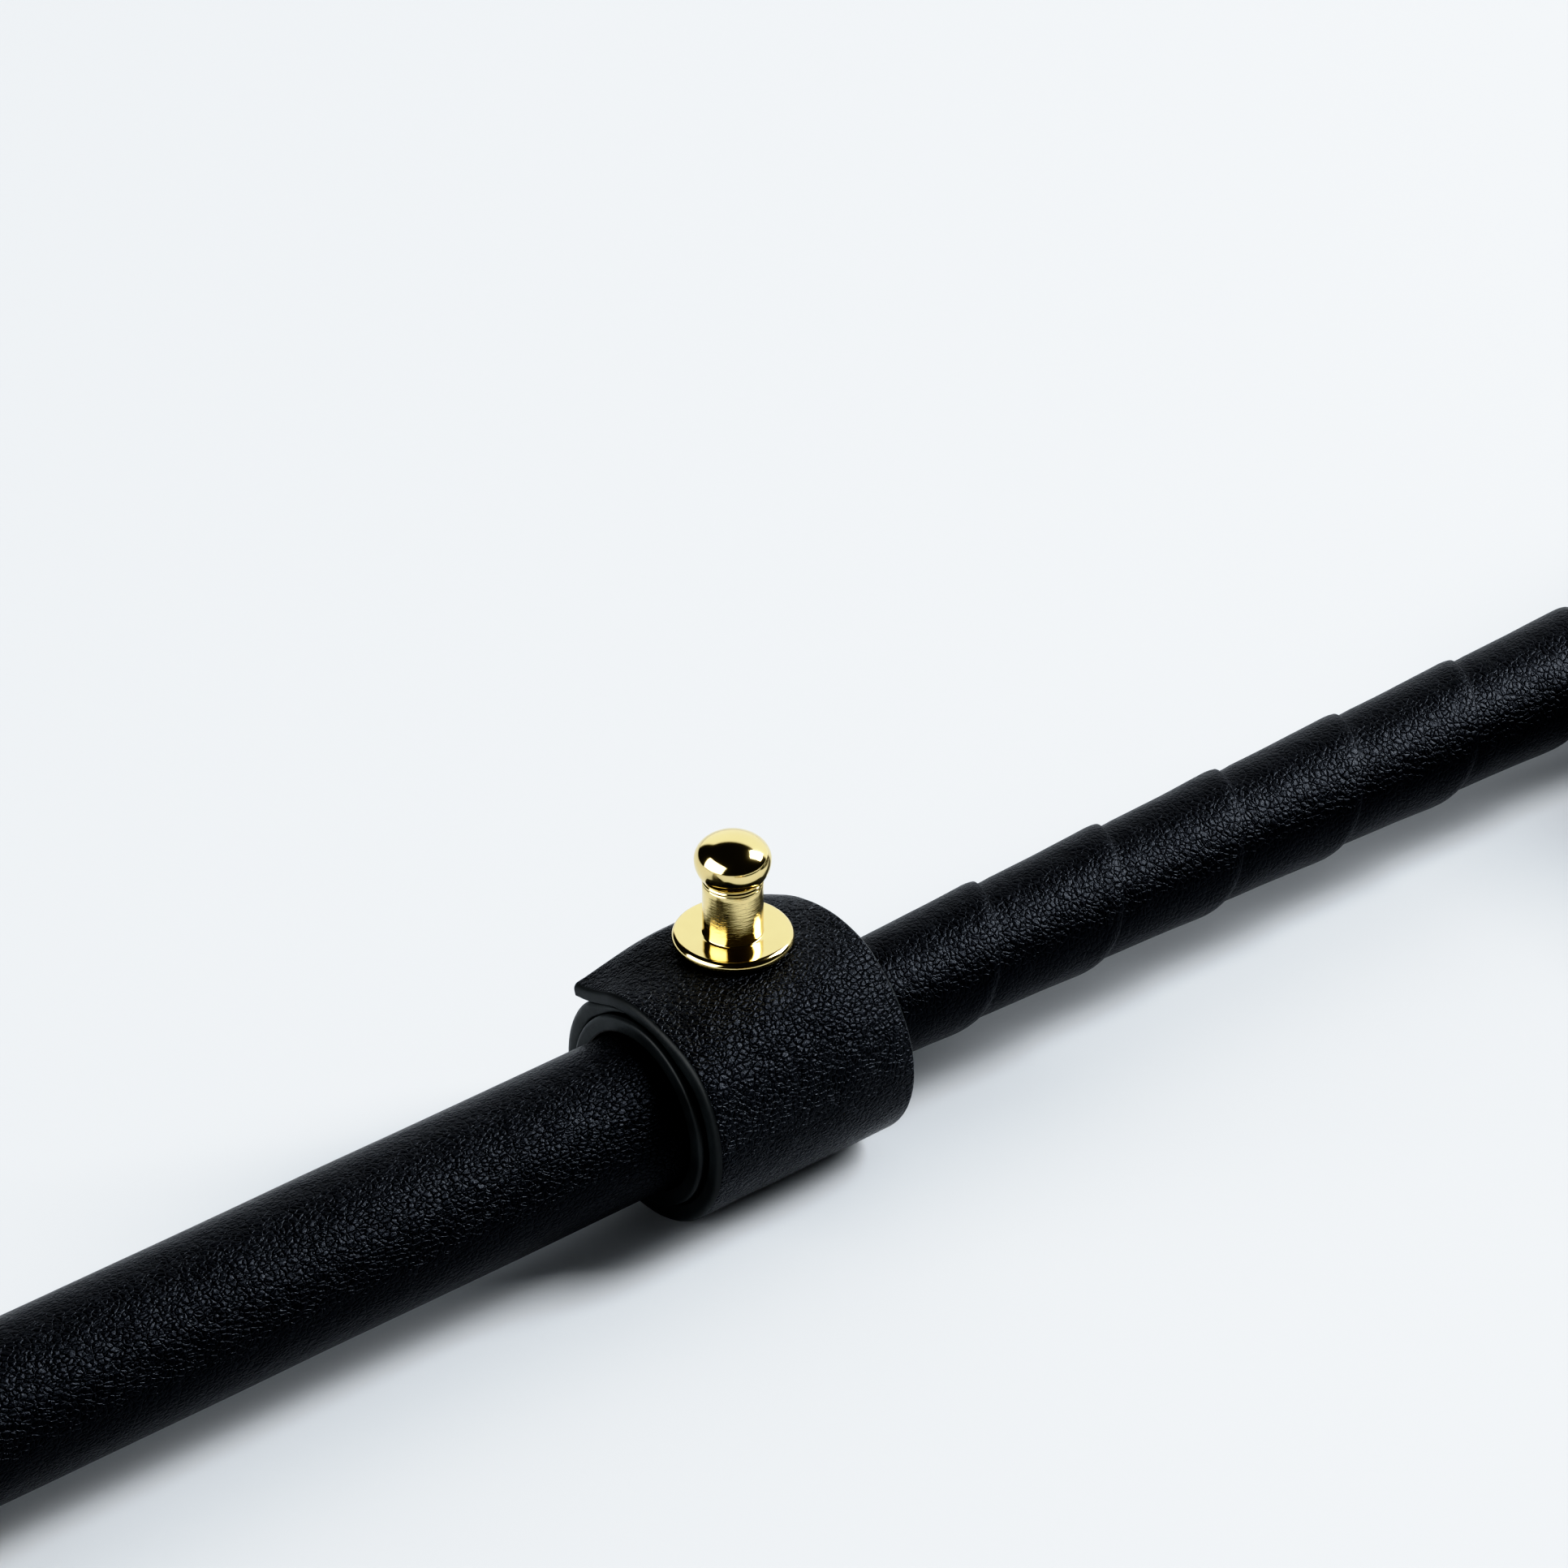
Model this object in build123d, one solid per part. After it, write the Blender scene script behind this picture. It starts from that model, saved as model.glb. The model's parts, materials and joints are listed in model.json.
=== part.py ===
from build123d import *
import math
import os

# Leather-covered barrier rope, laid out on a level surface.  Millimetres, +Z up, surface at Z = 0.
# The visible straight length runs along X: the near end and its hook point towards -X,
# the rope runs towards +X, into a neat coil, and comes back beside itself to the far end.
# While it is drawn, X = 0 is the keeper's front rim and Y = 0 the rope's axis.
# At the end everything is moved so that the origin is the bottom centre of the fittings' box.

os.makedirs("parts", exist_ok=True)

# ---------------------------------------------------------------- driving dimensions
KEEPER_WIDTH = 25.0          # one-inch strap
KEEPER_RADIUS = 12.0         # outside of the strap
AXIS_HEIGHT = KEEPER_RADIUS  # the keeper rests on the surface and sets the height of the rope's axis

SLEEVE_RADIUS = 8.0          # smooth leather sleeve
SLEEVE_SKIN = 1.4
SLEEVE_TUBE_WALL = 1.4
SLEEVE_END_X = 12.5          # rope-side face of the near sleeve, hidden inside the keeper
SLEEVE_LENGTH = 122.5

ROPE_RADIUS = 6.5            # spiral-bound rope
ROPE_LEVEL = ROPE_RADIUS     # axis height where the rope lies on the surface

LINER_BORE = 8.3
LINER_RADIUS = 9.9
LINER_OVERHANG = 0.7         # how far the liner shows beyond each rim of the strap

STRAP_INNER = 10.0
FLAP_TOP = 11.6              # flat of the strap under the stud, above the keeper's axis
FLAP_UNDER = 10.0
FLAP_BEND_Y = 8.0            # where the flap starts to droop
FLAP_TIP_Y = 10.9
FLAP_BEND_RADIUS = 8.0
SHOULDER_RADIUS = 6.0        # blend from the flat to the round of the strap
TUCK_ANGLE = 47.0            # where the inner end leaves the round and dives under the flap
TUCK_TOP = 9.9
TUCK_END_Y = 2.6

STUD_X = 14.3
STUD_Y = 3.7
STUD_BASE_RADIUS = 6.0
STUD_BASE_HEIGHT = 1.25
STUD_POST_RADIUS = 3.0
STUD_BALL_RADIUS = 3.8
STUD_BALL_MIDDLE = 9.65      # widest part of the ball above the stud's foot
STUD_BALL_LOWER = 0.88       # half heights below and above it, over the radius
STUD_BALL_UPPER = 0.67
STUD_SCREW_RADIUS = 1.5
SCREW_HEAD_RADIUS = 3.5
SCREW_HEAD_HEIGHT = 0.8

CAP_MOUTH_X = -92.0          # near cap's mouth
CAP_SOCKET = 18.0            # how far the sleeve goes into the cap
CAP_CHAMBER_END = 27.0
CAP_LENGTH = 32.0
CAP_CHAMBER_RADIUS = 6.5
CAP_BEAD_RADIUS = 12.0       # rests on the surface, like the keeper
CAP_PIN_AT = 9.0
CAP_PIN_RADIUS = 1.25

SHANK_RADIUS = 3.0
SHANK_CLEARANCE = 0.05
SHANK_START = 23.5
COLLAR_RADIUS = 5.8
COLLAR_LENGTH = 2.4
HOOK_WIDTH = 7.0
HOOK_FILLET = 1.7
BIGHT_AT = 66.0
BIGHT_INNER = 6.5
BIGHT_OUTER = 11.5
GATE_PIVOT = (43.5, 5.0)
GATE_PIN_RADIUS = 1.25
GATE_BORE = 1.30
GATE_SLOT = 3.2
GATE_LUG = 3.0
GATE_BAR = 5.6
SPRING_AT = 48.2
SPRING_FLOOR = 1.5
SPRING_TOP = 6.1
SPRING_COIL_RADIUS = 1.05
SPRING_WIRE_RADIUS = 0.22
SPRING_TURNS = 5

COIL_RADIUS = 71.5           # middle of the turns: 11 rope diameters across
COIL_X = 194.0
COIL_Y = -COIL_RADIUS
TIE_THICKNESS = 1.2
TIE_WIDTH = 12.0

FAR_SHIFT = (87.5, -2 * COIL_RADIUS, 0.0)  # far end fittings, from the near ones

# Corners of the rope's route outside the coil.
NEAR_ROUTE = [
    (SLEEVE_END_X, 0.0, AXIS_HEIGHT),
    (134.0, 0.0, AXIS_HEIGHT),
    (160.0, 0.0, ROPE_LEVEL),
    (COIL_X, 0.0, ROPE_LEVEL),
]
FAR_ROUTE = [
    (COIL_X, 2 * COIL_Y, 3 * ROPE_RADIUS),
    (150.0, 2 * COIL_Y, 3 * ROPE_RADIUS),
    (121.0, 2 * COIL_Y, AXIS_HEIGHT),
    (SLEEVE_END_X + FAR_SHIFT[0], 2 * COIL_Y, AXIS_HEIGHT),
]


# ---------------------------------------------------------------- helpers
def turned(profile):
    """Solid of revolution about X from (x, radius) points."""
    face = make_face(Polyline(*[(x, r) for x, r in profile], close=True))
    return revolve(face, Axis.X, 360)


def closed_face(*curves):
    """Face inside a closed run of curves, given end to end."""
    return make_face(Wire([edge for curve in curves for edge in curve.edges()]))


def rod_x(x0, x1, radius):
    """Cylinder along X."""
    return Pos((x0 + x1) / 2, 0, 0) * (Rot(0, 90, 0) * Cylinder(radius, x1 - x0))


def plate(face, width):
    """A face drawn in (x, z), given a width across Y."""
    return extrude(Plane.XZ * face, amount=width / 2, both=True)


def tube_radii(points):
    """Arc radii as large as each corner's two runs allow."""
    radii = []
    for before, at, after in zip(points, points[1:], points[2:]):
        run_in = Vector(*at) - Vector(*before)
        run_out = Vector(*after) - Vector(*at)
        turn = run_in.get_angle(run_out)
        shorter = min(run_in.length, run_out.length)
        radii.append(0.45 * shorter / math.tan(math.radians(turn / 2)))
    return radii


def rope_tube(name, points, radius):
    """Rope along straight runs joined by tangent arcs."""
    radii = tube_radii(points)
    path = FilletPolyline(*points, radius=radii)
    start = Plane(origin=points[0], z_dir=Vector(*points[1]) - Vector(*points[0]))
    tube = sweep(start * Circle(radius), path=path)
    ideal = math.pi * radius**2 * path.length
    print(name, "arc radii", [round(r, 1) for r in radii], "length", round(path.length, 1),
          "volume ratio", round(tube.volume / ideal, 4))
    return tube


# ---------------------------------------------------------------- keeper
def keeper_strap():
    """One strap, once round: its inner end is tucked under the flap that carries the stud."""
    shoulder_z = FLAP_TOP - SHOULDER_RADIUS
    reach = KEEPER_RADIUS - SHOULDER_RADIUS
    shoulder_y = -math.sqrt(reach**2 - shoulder_z**2)
    shoulder_angle = math.degrees(math.atan2(shoulder_z, shoulder_y))

    def on_round(radius, angle):
        return (radius * math.cos(math.radians(angle)), radius * math.sin(math.radians(angle)))

    flap_centre_z = FLAP_TOP - FLAP_BEND_RADIUS
    droop = math.degrees(math.asin((FLAP_TIP_Y - FLAP_BEND_Y) / FLAP_BEND_RADIUS))
    under_radius = FLAP_BEND_RADIUS - (FLAP_TOP - FLAP_UNDER)

    tuck_sin = math.sin(math.radians(TUCK_ANGLE))
    tuck_radius = (TUCK_TOP - KEEPER_RADIUS * tuck_sin) / (1 - tuck_sin)
    tuck_y = (KEEPER_RADIUS - tuck_radius) * math.cos(math.radians(TUCK_ANGLE))
    tuck_z = (KEEPER_RADIUS - tuck_radius) * tuck_sin
    tuck_end_z = math.sqrt(STRAP_INNER**2 - TUCK_END_Y**2)
    tuck_end_angle = math.degrees(math.atan2(tuck_end_z, TUCK_END_Y))

    outer_round = CenterArc((0, 0), KEEPER_RADIUS, shoulder_angle, 360 + TUCK_ANGLE - shoulder_angle)
    shoulder = CenterArc((shoulder_y, shoulder_z), SHOULDER_RADIUS, 90, shoulder_angle - 90)
    flat = Line((FLAP_BEND_Y, FLAP_TOP), (shoulder_y, FLAP_TOP))
    flap_outer = CenterArc((FLAP_BEND_Y, flap_centre_z), FLAP_BEND_RADIUS, 90 - droop, droop)
    flap_inner = CenterArc((FLAP_BEND_Y, flap_centre_z), under_radius, 90 - droop, droop)
    tip = Line(flap_outer @ 0, flap_inner @ 0)
    underside = Line((FLAP_BEND_Y, FLAP_UNDER), (0, FLAP_UNDER))
    inner_round = CenterArc((0, 0), STRAP_INNER, 90, 270 + tuck_end_angle)
    tuck_end = Line(on_round(STRAP_INNER, tuck_end_angle), (TUCK_END_Y, TUCK_TOP))
    tuck_flat = Line((TUCK_END_Y, TUCK_TOP), (tuck_y, TUCK_TOP))
    tuck = CenterArc((tuck_y, tuck_z), tuck_radius, TUCK_ANGLE, 90 - TUCK_ANGLE)
    face = Plane.YZ * closed_face(tip, flap_outer, flat, shoulder, outer_round, tuck, tuck_flat,
                                  tuck_end, inner_round, underside, flap_inner)
    return Pos(0, 0, AXIS_HEIGHT) * extrude(face, amount=KEEPER_WIDTH, dir=(1, 0, 0))


def keeper_liner():
    ring = rod_x(-LINER_OVERHANG, KEEPER_WIDTH + LINER_OVERHANG, LINER_RADIUS)
    ring -= rod_x(-2 * LINER_OVERHANG, KEEPER_WIDTH + 2 * LINER_OVERHANG, LINER_BORE)
    return Pos(0, 0, AXIS_HEIGHT) * ring


def stud():
    """Turned ball stud: flange, post, thin bead and a ball flattened on top, tapped from below."""
    rim = STUD_BASE_HEIGHT / 2
    neck_angle = -math.acos(STUD_POST_RADIUS / STUD_BALL_RADIUS)
    turns = [neck_angle * (1 - i / 3) for i in range(3)] + [math.pi / 2 * i / 5 for i in range(6)]
    ball = []
    for turn in turns:
        squash = STUD_BALL_LOWER if turn < 0 else STUD_BALL_UPPER
        ball.append((STUD_BALL_RADIUS * math.cos(turn),
                     STUD_BALL_MIDDLE + STUD_BALL_RADIUS * squash * math.sin(turn)))
    ball[-1] = (0, ball[-1][1])
    neck_z = ball[0][1]
    foot = Line((0, 0), (STUD_BASE_RADIUS - rim, 0))
    edge = ThreePointArc(foot @ 1, (STUD_BASE_RADIUS, rim), (STUD_BASE_RADIUS - rim, STUD_BASE_HEIGHT))
    post = Polyline(edge @ 1, (STUD_POST_RADIUS, STUD_BASE_HEIGHT), (STUD_POST_RADIUS, neck_z - 0.6),
                    (STUD_POST_RADIUS + 0.1, neck_z - 0.45), (STUD_POST_RADIUS + 0.1, neck_z - 0.2),
                    ball[0])
    head = Spline(*ball, tangents=[(1, 1), (-1, 0)])
    face = Plane.XZ * closed_face(foot, edge, post, head, Line(head @ 1, (0, 0)))
    bore = Pos(0, 0, 3.0) * Cylinder(STUD_SCREW_RADIUS, 6.0)
    return Pos(STUD_X, STUD_Y, AXIS_HEIGHT + FLAP_TOP) * (revolve(face, Axis.Z, 360) - bore)


def stud_screw():
    """Slotted flat-head screw from inside the keeper, between the liner and the flap."""
    head_top = FLAP_UNDER
    head = Pos(0, 0, head_top - SCREW_HEAD_HEIGHT / 2) * Cylinder(SCREW_HEAD_RADIUS, SCREW_HEAD_HEIGHT)
    shank_length = FLAP_TOP - FLAP_UNDER + 5.5
    shank = Pos(0, 0, head_top + shank_length / 2) * Cylinder(STUD_SCREW_RADIUS, shank_length)
    slot = Pos(0, 0, head_top - SCREW_HEAD_HEIGHT) * Box(2 * SCREW_HEAD_RADIUS + 1, 0.8, 0.7)
    return Pos(STUD_X, STUD_Y, AXIS_HEIGHT) * (head + shank - slot)


def screw_room():
    """Space that the screw takes out of the strap and the liner."""
    head = Pos(0, 0, FLAP_UNDER - SCREW_HEAD_HEIGHT / 2)
    head *= Cylinder(SCREW_HEAD_RADIUS + 0.05, SCREW_HEAD_HEIGHT + 0.02)
    shank = Pos(0, 0, FLAP_TOP) * Cylinder(STUD_SCREW_RADIUS + 0.05, 8.0)
    return Pos(STUD_X, STUD_Y, AXIS_HEIGHT) * (head + shank)


# ---------------------------------------------------------------- end fittings
# Drawn with the cap's mouth at x = 0 and the hook towards +x, axis on z = 0.
def cap_pin():
    pin = Rot(90, 0, 0) * Cylinder(CAP_PIN_RADIUS, 2 * 9.5)
    return Pos(CAP_PIN_AT, 0, 0) * pin


def end_cap():
    return turned([
        (0, SLEEVE_RADIUS), (0, 9.4), (0.7, 10.0), (2.8, 10.0), (3.5, 9.3), (19.5, 9.3),
        (21.5, 9.7), (23.0, 10.8), (24.0, 11.7), (24.8, CAP_BEAD_RADIUS), (25.8, CAP_BEAD_RADIUS),
        (26.6, 11.7), (27.6, 10.6), (28.6, 8.2), (30.0, 6.8), (CAP_LENGTH - 0.4, 6.2),
        (CAP_LENGTH, 5.8), (CAP_LENGTH, SHANK_RADIUS + SHANK_CLEARANCE),
        (CAP_CHAMBER_END, SHANK_RADIUS + SHANK_CLEARANCE), (CAP_CHAMBER_END, CAP_CHAMBER_RADIUS),
        (CAP_SOCKET, CAP_CHAMBER_RADIUS), (CAP_SOCKET, SLEEVE_RADIUS),
    ]) - cap_pin()


def swivel_collar():
    """Ring peened on the end of the shank, inside the cap."""
    start = CAP_CHAMBER_END - 0.1 - COLLAR_LENGTH
    return rod_x(start, start + COLLAR_LENGTH, COLLAR_RADIUS) - rod_x(start - 1, start + 5, SHANK_RADIUS)


def hook_outline():
    """Side view of the hook: shank block, spine, round bight and a nose with a lip for the gate."""
    outer = ThreePointArc((BIGHT_AT, -BIGHT_OUTER), (BIGHT_AT + BIGHT_OUTER, 0), (BIGHT_AT, BIGHT_OUTER))
    inner = ThreePointArc((BIGHT_AT, BIGHT_INNER), (BIGHT_AT + BIGHT_INNER, 0), (BIGHT_AT, -BIGHT_INNER))
    nose = Polyline(outer @ 1, (59.8, BIGHT_OUTER), (59.8, 9.1), (61.6, 9.1), (61.6, BIGHT_INNER), inner @ 0)
    throat = Polyline(inner @ 1, (56.0, -BIGHT_INNER), (50.6, -2.0), (49.2, 9.2), (39.0, 9.2), (33.5, 4.6))
    back = Polyline((33.5, 4.6), (33.5, -4.6), (40.0, -BIGHT_OUTER + 2.0), (52.0, -BIGHT_OUTER), outer @ 0)
    face = closed_face(outer, nose, inner, throat, back)
    block = [v for v in face.vertices() if 34.0 < v.X < 57.0]
    return fillet(block, 2.2)


def gate_slot():
    return Pos(46.5, 0, 7.5) * Box(14.0, GATE_SLOT, 12.0)


def in_notch(point):
    """The nose's notch keeps its sharp edges."""
    return 59.0 < point.X < BIGHT_AT - 3.0 and point.Z > BIGHT_INNER - 0.1


def hook_body():
    body = plate(hook_outline(), HOOK_WIDTH)
    sides = [f for f in body.faces() if abs(abs(f.center().Y) - HOOK_WIDTH / 2) < 1e-3]
    rims = [edge for side in sides for edge in side.edges() if not in_notch(edge.center())]
    body = fillet(rims, HOOK_FILLET)
    body += rod_x(32.15, 35.5, 5.5)
    body += rod_x(SHANK_START, 34.0, SHANK_RADIUS)
    body -= gate_slot()
    px, pz = GATE_PIVOT
    return body - Pos(px, 0, pz) * (Rot(90, 0, 0) * Cylinder(GATE_PIN_RADIUS, HOOK_WIDTH + 2))


def gate():
    px, pz = GATE_PIVOT
    narrow = make_face(Polyline(
        (px - 1.5, pz + 2.7), (48.4, 10.0), (51.8, 10.4), (51.8, 6.6), (46.3, 6.4), (px + 0.5, pz - 3.0),
        close=True))
    narrow += Pos(px, pz) * Circle(3.1)
    bar = make_face(Polyline(
        (51.0, 6.6), (51.0, 10.4), (51.6, 11.4), (53.4, 11.6), (54.6, 10.9), (59.4, 10.7), (59.4, 8.9),
        (61.3, 8.9), (61.3, 6.8), close=True))
    solid = plate(narrow, GATE_LUG) + plate(bar, GATE_BAR)
    return solid - Pos(px, 0, pz) * (Rot(90, 0, 0) * Cylinder(GATE_BORE, GATE_BAR + 2))


def gate_pin():
    px, pz = GATE_PIVOT
    return Pos(px, 0, pz) * (Rot(90, 0, 0) * Cylinder(GATE_PIN_RADIUS, HOOK_WIDTH + 0.2))


def gate_spring():
    """Small compression spring between the slot's floor and the gate."""
    height = SPRING_TOP - SPRING_FLOOR - 2 * SPRING_WIRE_RADIUS
    path = Helix(pitch=height / SPRING_TURNS, height=height, radius=SPRING_COIL_RADIUS)
    wire = Plane(origin=path @ 0, z_dir=path % 0) * Circle(SPRING_WIRE_RADIUS)
    spring = sweep(wire, path=path, is_frenet=True)
    return Pos(SPRING_AT, 0, SPRING_FLOOR + SPRING_WIRE_RADIUS) * spring


def sleeve_parts():
    """Leather, stiff tube and rope core, from the cap's socket back to the rope side (towards -x)."""
    end = CAP_SOCKET
    start = end - SLEEVE_LENGTH
    skin_inner = SLEEVE_RADIUS - SLEEVE_SKIN
    core = skin_inner - SLEEVE_TUBE_WALL
    return {
        "sleeve_leather": rod_x(start, end, SLEEVE_RADIUS) - rod_x(start - 1, end + 1, skin_inner) - cap_pin(),
        "sleeve_tube": rod_x(start, end, skin_inner) - rod_x(start - 1, end + 1, core) - cap_pin(),
        "rope_core_end": rod_x(start, end, core) - cap_pin(),
    }


def end_fittings(prefix, shift):
    """All pieces of one end, turned to point towards -X and put in place."""
    pieces = sleeve_parts()
    pieces["end_cap"] = end_cap()
    pieces["cap_pin"] = cap_pin()
    pieces["swivel_collar"] = swivel_collar()
    pieces["hook"] = hook_body()
    pieces["gate"] = gate()
    pieces["gate_pin"] = gate_pin()
    pieces["gate_spring"] = gate_spring()
    place = Pos(CAP_MOUTH_X + shift[0], shift[1], AXIS_HEIGHT + shift[2]) * Rot(0, 0, 180)
    return {prefix + "_" + name: place * piece for name, piece in pieces.items()}


# ---------------------------------------------------------------- coil
def coil_sector(section, clockwise_from, clockwise_to):
    """Part of a ring about the coil's centre; angles run clockwise from the +Y side, seen from above."""
    start = 90.0 - clockwise_to
    face = Plane.XZ * (Pos(COIL_RADIUS, 0) * section)
    ring = revolve(face, Axis.Z, clockwise_to - clockwise_from)
    return Pos(COIL_X, COIL_Y, 0) * (Rot(0, 0, start) * ring)


def rope_coil():
    """A turn and a half: once round on the surface, then up and half round on top of itself."""
    low = Pos(0, ROPE_RADIUS) * Circle(ROPE_RADIUS)
    high = Pos(0, 3 * ROPE_RADIUS) * Circle(ROPE_RADIUS)
    both = Pos(0, 2 * ROPE_RADIUS) * SlotOverall(4 * ROPE_RADIUS, 2 * ROPE_RADIUS, rotation=90)
    coil = coil_sector(both, 0, 180)
    coil += coil_sector(low, 180, 322)
    coil += coil_sector(both, 296, 322)
    coil += coil_sector(high, 322, 360)
    return coil


def coil_tie():
    """Leather band round both turns, at the side of the coil away from the rope's ends."""
    outer = Pos(0, (4 * ROPE_RADIUS + TIE_THICKNESS) / 2)
    outer *= RectangleRounded(2 * ROPE_RADIUS + 2 * TIE_THICKNESS, 4 * ROPE_RADIUS + TIE_THICKNESS, 7.0)
    inner = Pos(0, (4 * ROPE_RADIUS + TIE_THICKNESS) / 2)
    inner *= RectangleRounded(2 * ROPE_RADIUS, 4 * ROPE_RADIUS - TIE_THICKNESS, 5.8)
    band = plate(outer - inner, TIE_WIDTH)
    return Pos(COIL_X + COIL_RADIUS, COIL_Y, 0) * band


# ---------------------------------------------------------------- assembly
parts = {}
room = screw_room()
parts["keeper_strap"] = keeper_strap() - room
parts["keeper_liner"] = keeper_liner() - room
parts["stud"] = stud()
parts["stud_screw"] = stud_screw()
parts.update(end_fittings("near", (0.0, 0.0, 0.0)))
parts.update(end_fittings("far", FAR_SHIFT))
parts["coil_tie"] = coil_tie()
parts["rope_coil"] = rope_coil() - parts["coil_tie"]
parts["rope_near_run"] = rope_tube("near run", NEAR_ROUTE, ROPE_RADIUS)
parts["rope_far_run"] = rope_tube("far run", FAR_ROUTE, ROPE_RADIUS)

# The origin is the bottom centre of the fittings' box, rope and tie left out.
CORD_NODES = ("rope_coil", "rope_near_run", "rope_far_run", "coil_tie")
boxes = [piece.bounding_box() for name, piece in parts.items() if name not in CORD_NODES]
centre_x = (min(b.min.X for b in boxes) + max(b.max.X for b in boxes)) / 2
centre_y = (min(b.min.Y for b in boxes) + max(b.max.Y for b in boxes)) / 2
bottom = min(b.min.Z for b in boxes)
print("origin moved to", round(centre_x, 4), round(centre_y, 4), round(bottom, 4))

for name, piece in parts.items():
    export_step(Pos(-centre_x, -centre_y, -bottom) * piece, "parts/" + name + ".step")
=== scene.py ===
import json
import math

import bmesh
import bpy
import numpy as np
from mathutils import Matrix, Vector, noise

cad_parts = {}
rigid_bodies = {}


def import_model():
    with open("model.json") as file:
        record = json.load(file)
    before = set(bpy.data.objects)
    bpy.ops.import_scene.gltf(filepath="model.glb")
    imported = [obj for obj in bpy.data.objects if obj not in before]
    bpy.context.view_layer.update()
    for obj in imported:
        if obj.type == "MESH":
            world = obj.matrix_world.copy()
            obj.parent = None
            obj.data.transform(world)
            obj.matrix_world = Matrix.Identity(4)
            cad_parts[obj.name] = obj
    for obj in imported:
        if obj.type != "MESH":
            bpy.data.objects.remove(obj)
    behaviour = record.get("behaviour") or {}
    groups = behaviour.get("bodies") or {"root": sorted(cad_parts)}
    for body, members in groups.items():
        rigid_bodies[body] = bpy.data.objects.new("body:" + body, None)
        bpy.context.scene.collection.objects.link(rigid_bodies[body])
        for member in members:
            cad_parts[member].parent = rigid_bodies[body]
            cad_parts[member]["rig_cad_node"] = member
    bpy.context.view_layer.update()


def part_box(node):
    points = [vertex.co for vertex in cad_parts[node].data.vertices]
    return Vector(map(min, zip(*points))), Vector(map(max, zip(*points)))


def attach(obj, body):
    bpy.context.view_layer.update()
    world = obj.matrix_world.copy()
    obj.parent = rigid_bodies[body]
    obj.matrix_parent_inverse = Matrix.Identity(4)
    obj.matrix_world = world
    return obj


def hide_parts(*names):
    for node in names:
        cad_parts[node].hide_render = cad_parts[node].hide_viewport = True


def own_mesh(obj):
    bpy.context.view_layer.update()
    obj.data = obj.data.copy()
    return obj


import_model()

# Leather-covered barrier rope.  Metres, in the CAD frame: the rope's straight length runs along X.
MM = 0.001
ENDS = ("near", "far")


# ---------------------------------------------------------------- places, from the CAD boxes
def middle(node):
    """Middle of a CAD node's box."""
    low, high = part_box(node)
    return (low + high) / 2


STRAP_LOW, STRAP_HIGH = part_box("keeper_strap")
NEAR_AXIS = Vector((0.0, middle("near_sleeve_leather").y, middle("near_sleeve_leather").z))
FAR_AXIS = Vector((0.0, middle("far_sleeve_leather").y, middle("far_sleeve_leather").z))
RIM_X = STRAP_LOW.x
COIL_MIDDLE = Vector((middle("rope_coil").x, middle("rope_coil").y, 0.0))


# ---------------------------------------------------------------- camera
VIEW_HEADING = math.radians(38.9)     # from +Y towards +X
VIEW_DOWN = math.radians(34.1)
VIEW_DISTANCE = 0.9
LENS = 214.8
LOOK = Vector((math.sin(VIEW_HEADING) * math.cos(VIEW_DOWN),
               math.cos(VIEW_HEADING) * math.cos(VIEW_DOWN),
               -math.sin(VIEW_DOWN)))
LOOK_AT = Vector((RIM_X + 17.7 * MM, NEAR_AXIS.y, NEAR_AXIS.z + 30.5 * MM))


def make_camera():
    """Camera at the photograph's viewing angle."""
    data = bpy.data.cameras.new("camera")
    data.lens = LENS
    data.sensor_width = 36.0
    data.clip_start = 0.05
    data.clip_end = 50.0
    camera = bpy.data.objects.new("camera", data)
    camera.location = LOOK_AT - LOOK * VIEW_DISTANCE
    camera.rotation_mode = "QUATERNION"
    camera.rotation_quaternion = LOOK.to_track_quat("-Z", "Y")
    bpy.context.collection.objects.link(camera)
    bpy.context.scene.camera = camera


make_camera()


# ---------------------------------------------------------------- rope route
LOW = 6.5 * MM
HIGH = 19.5 * MM
COIL_RADIUS = 71.5 * MM
POINTS_PER_TURN = 16
TIE_LIFT = 1.0 * MM                  # the tie passes under the rope here


def coil_height(clock):
    """Height of the rope's axis along the coil; clock is the angle run through, clockwise from +Y."""
    climb = min(max((clock - 296.0) / 44.0, 0.0), 1.0)
    height = LOW + (HIGH - LOW) * climb * climb * (3 - 2 * climb)
    from_tie = (clock % 360.0) - 90.0
    return height + TIE_LIFT * math.exp(-(from_tie / 28.0) ** 2)


def rope_points():
    """Control points of the route: near run, one and a half turns of the coil, far run."""
    ends_y = NEAR_AXIS.y
    points = [
        (47.25 * MM, ends_y, NEAR_AXIS.z),
        (142.2 * MM, ends_y, NEAR_AXIS.z),
        (168.75 * MM, ends_y, NEAR_AXIS.z),
        (194.75 * MM, ends_y, LOW),
    ]
    step = 360.0 / POINTS_PER_TURN
    reach = COIL_RADIUS / (0.75 + 0.25 * math.cos(math.radians(step)))
    for i in range(int(1.5 * POINTS_PER_TURN) + 1):
        clock = i * step
        a = math.radians(clock)
        points.append((COIL_MIDDLE.x + reach * math.sin(a), COIL_MIDDLE.y + reach * math.cos(a),
                       coil_height(clock)))
    points += [
        (184.75 * MM, FAR_AXIS.y, HIGH),
        (155.75 * MM, FAR_AXIS.y, FAR_AXIS.z),
        (134.75 * MM, FAR_AXIS.y, FAR_AXIS.z),
    ]
    return points


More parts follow.
